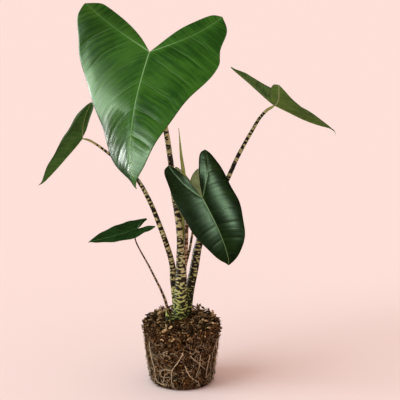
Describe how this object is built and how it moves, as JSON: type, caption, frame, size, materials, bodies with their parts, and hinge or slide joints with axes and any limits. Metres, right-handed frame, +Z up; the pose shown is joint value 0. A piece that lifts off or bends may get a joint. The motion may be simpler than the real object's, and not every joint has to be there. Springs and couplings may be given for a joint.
{
  "type": "alocasia zebrina plant",
  "caption": "Unpotted houseplant with arrow-shaped leaves on thin banded stems, standing on its bare, tapered, flat-based root ball.",
  "frame": {"origin": "centre of the root ball's flat base, the face that the plant stands on", "axes": "+Z up along the stems, +X to the right seen from the front, -Y to the front"},
  "size_m": [0.4777, 0.2832, 0.5942],
  "materials": {
    "soil": "rough, crumbly peat and bark",
    "root": "dry, pale, matte",
    "crown": "fleshy, satin, bright green with brown mottling",
    "stem": "fleshy, satin, yellow-green with dark brown broken bands",
    "blade": "waxy, semi-gloss, green with paler veins",
    "dark_blade": "waxy, glossy, near-black green",
    "new_leaf": "satin, yellow-green"
  },
  "bodies": {
    "root": {"soil": "soil", "roots": "root", "crown": "crown", "side_shoot": "crown", "leaf_1_stem": "stem", "leaf_2_stem": "stem", "leaf_3_stem": "stem", "leaf_4_stem": "stem", "leaf_5_stem": "stem", "leaf_6_stem": "stem", "leaf_1_blade": "blade", "leaf_2_blade": "blade", "leaf_3_blade": "blade", "leaf_4_blade": "dark_blade", "leaf_5_blade": "blade", "leaf_6_blade": "blade", "new_leaf": "new_leaf"}
  },
  "joints": []
}
